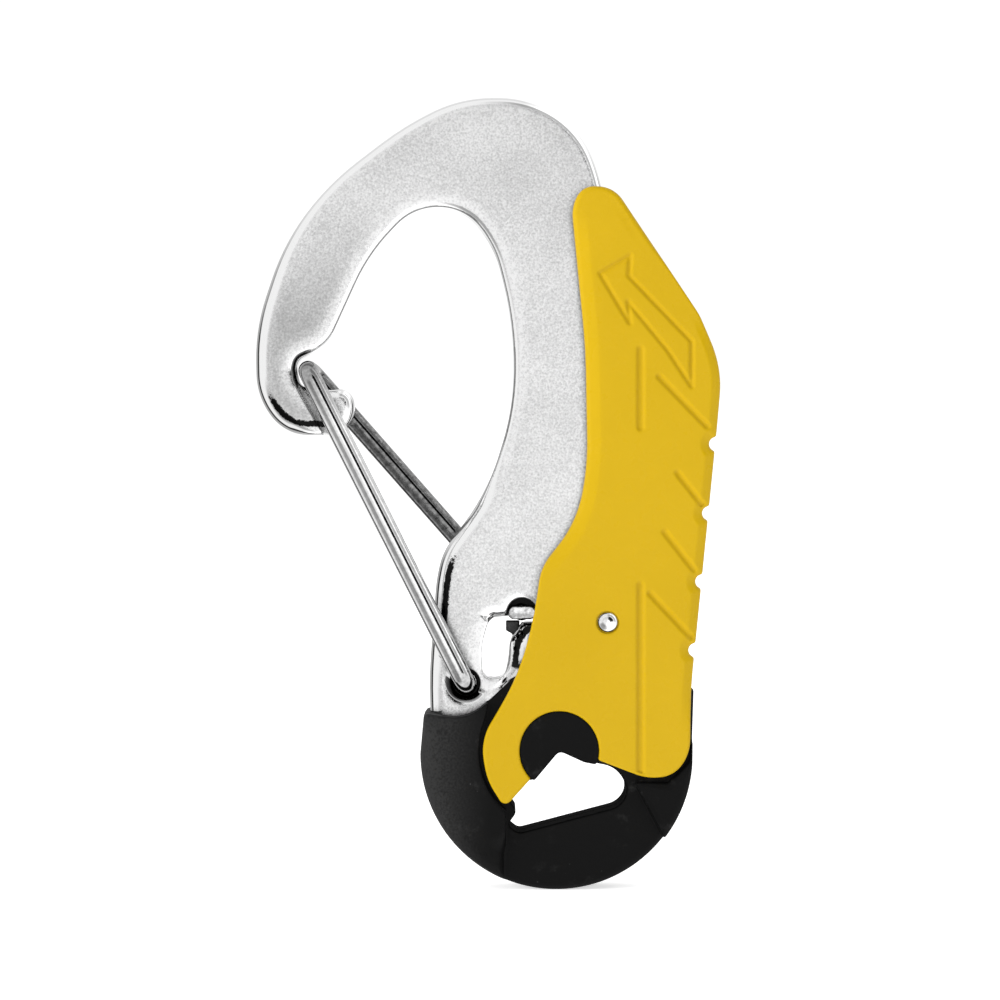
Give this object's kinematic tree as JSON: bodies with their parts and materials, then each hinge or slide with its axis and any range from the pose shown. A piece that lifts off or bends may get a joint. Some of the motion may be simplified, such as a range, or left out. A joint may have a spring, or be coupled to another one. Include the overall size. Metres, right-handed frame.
{
  "type": "safety snap hook",
  "caption": "Double-action safety hook with a sprung wire gate, a long squeeze handle that frees the gate, and a moulded cover around the webbing eye.",
  "frame": {"origin": "middle of the webbing slot, in the middle plane of the forged hook", "axes": "+Z from the webbing eye towards the crown of the hook, +X from the hook's nose towards the handle, -Y out of the front face"},
  "size_m": [0.087, 0.0177, 0.1485],
  "materials": {
    "forged_steel": "satin tumbled faces with polished edges",
    "wire_steel": "polished",
    "fastener_steel": "polished",
    "tooth_steel": "satin",
    "handle_plastic": "gloss",
    "cover_plastic": "satin",
    "spring_steel": "satin"
  },
  "bodies": {
    "hook": {"hook_body": "forged_steel", "eye_cover_front": "cover_plastic", "eye_cover_rear": "cover_plastic", "spring_peg": "tooth_steel", "return_spring": "spring_steel"},
    "gate": {"gate_wire": "wire_steel"},
    "grip": {"handle": "handle_plastic", "handle_rivet": "fastener_steel", "rivet_washer": "fastener_steel", "lock_tooth": "tooth_steel"}
  },
  "joints": [
    {"name": "gate_hinge", "type": "hinge", "parent": "hook", "child": "gate", "pos_m": [-0.0196, 0, 0.0215], "axis": [0, 1, 0], "range_deg": [0, 28], "stiffness_Nm_per_rad": 0.4, "springref_deg": -20.05},
    {"name": "handle_squeeze", "type": "hinge", "parent": "hook", "child": "grip", "pos_m": [-0.0022, 0, 0.0091], "axis": [0, -1, 0], "range_deg": [0, 5], "stiffness_Nm_per_rad": 1.5, "springref_deg": -11.46, "deforming": ["return_spring"]}
  ]
}
